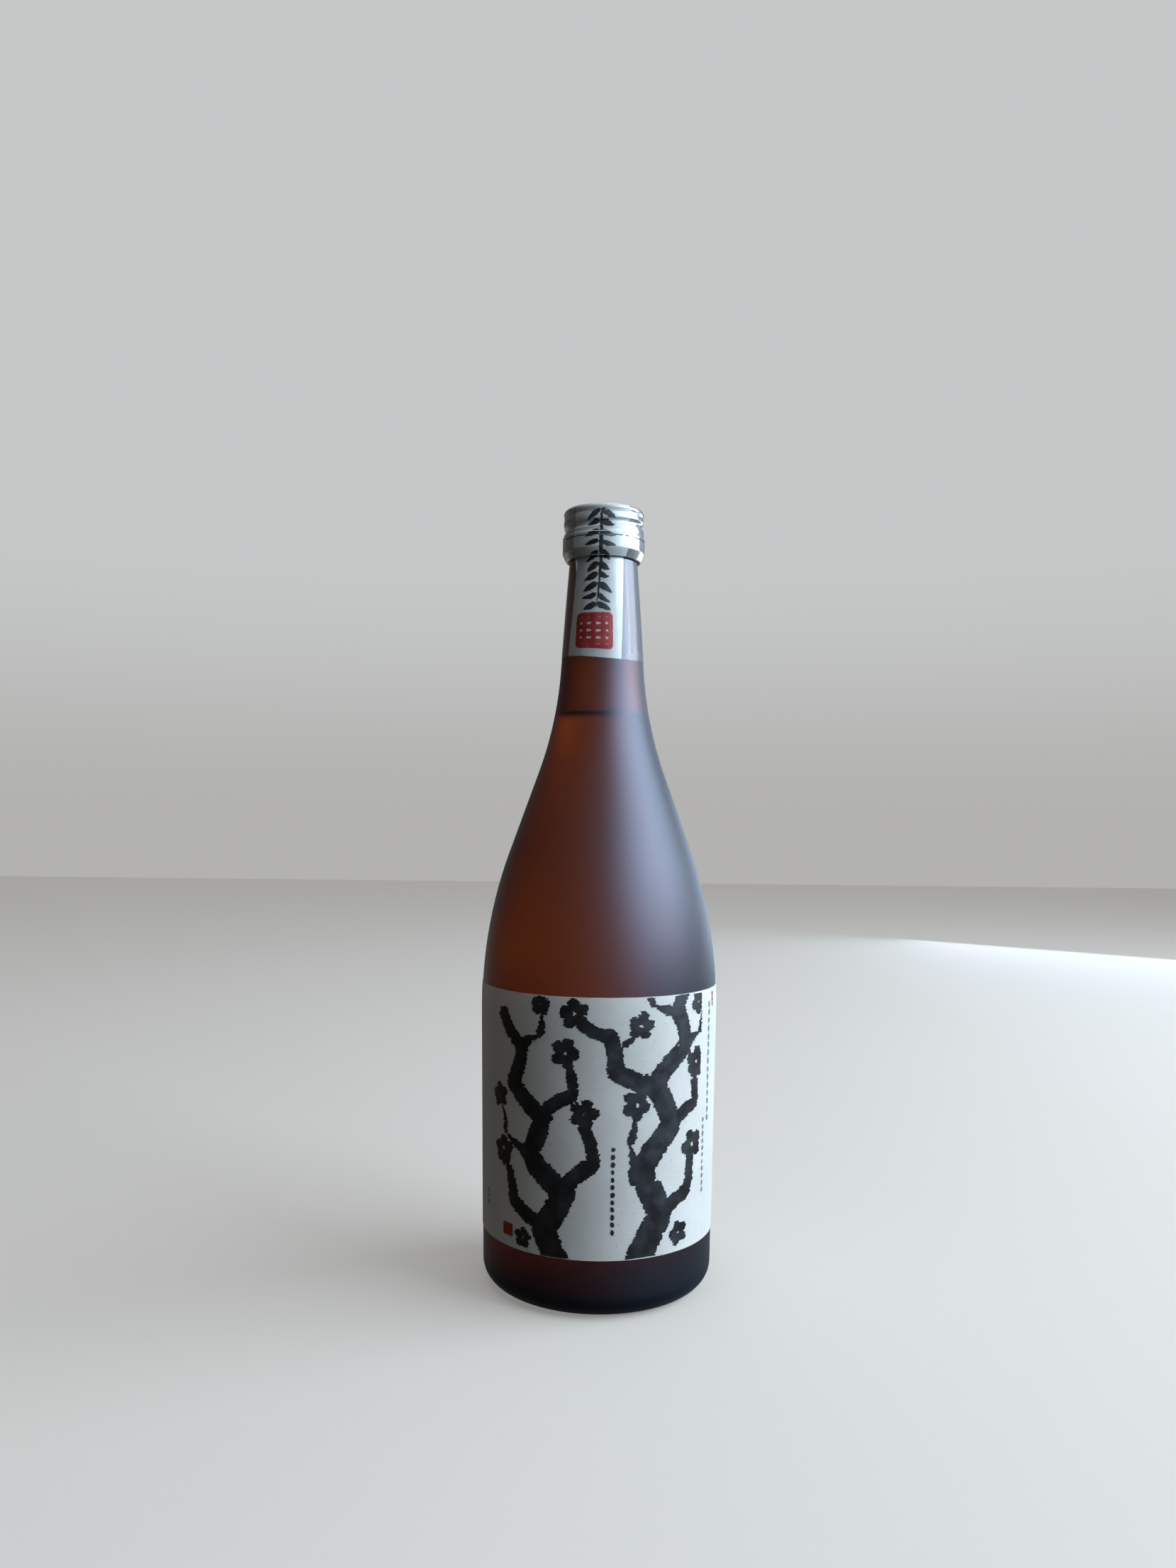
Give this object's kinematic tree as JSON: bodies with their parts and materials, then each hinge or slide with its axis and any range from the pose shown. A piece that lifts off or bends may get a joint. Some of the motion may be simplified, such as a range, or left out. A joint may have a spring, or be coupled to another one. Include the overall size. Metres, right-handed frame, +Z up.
{
  "type": "sake bottle",
  "caption": "Frosted glass sake bottle with a sloping shoulder, wrap-around paper label, roll-on screw cap with tamper band, and clear shrink film over cap and neck.",
  "frame": {"origin": "centre of the base, on the surface the bottle stands on", "axes": "+Z up along the bottle's axis, -Y towards the front of the label, +X to the right seen from the front"},
  "size_m": [0.0846, 0.0844, 0.276],
  "materials": {
    "glass": "acid-frosted brown glass, satin outside and smooth inside",
    "label": "uncoated fibrous white paper with a black brushed bamboo pattern and a red lattice stamp",
    "cap": "bright rolled aluminium",
    "liner": "white foamed polyethylene",
    "film": "clear glossy shrink film with a printed white strip and a red seal"
  },
  "bodies": {
    "bottle": {"glass_bottle": "glass", "label": "label", "pilfer_band": "cap", "film_neck": "film"},
    "liner": {"cap_liner": "liner"},
    "cap": {"cap_shell": "cap", "film_cap": "film"}
  },
  "joints": [
    {"name": "cap_lift", "type": "slide", "parent": "bottle", "child": "liner", "axis": [0, 0, 1], "range_m": [0, 0.0336]},
    {"name": "cap_turn", "type": "hinge", "parent": "liner", "child": "cap", "pos_m": [0, 0, 0.2743], "axis": [0, 0, 1], "range_deg": [0, 2880]}
  ],
  "couplings": [
    {"joint": "cap_lift", "follows": "cap_turn", "m_per_rad": 0.00066845}
  ]
}
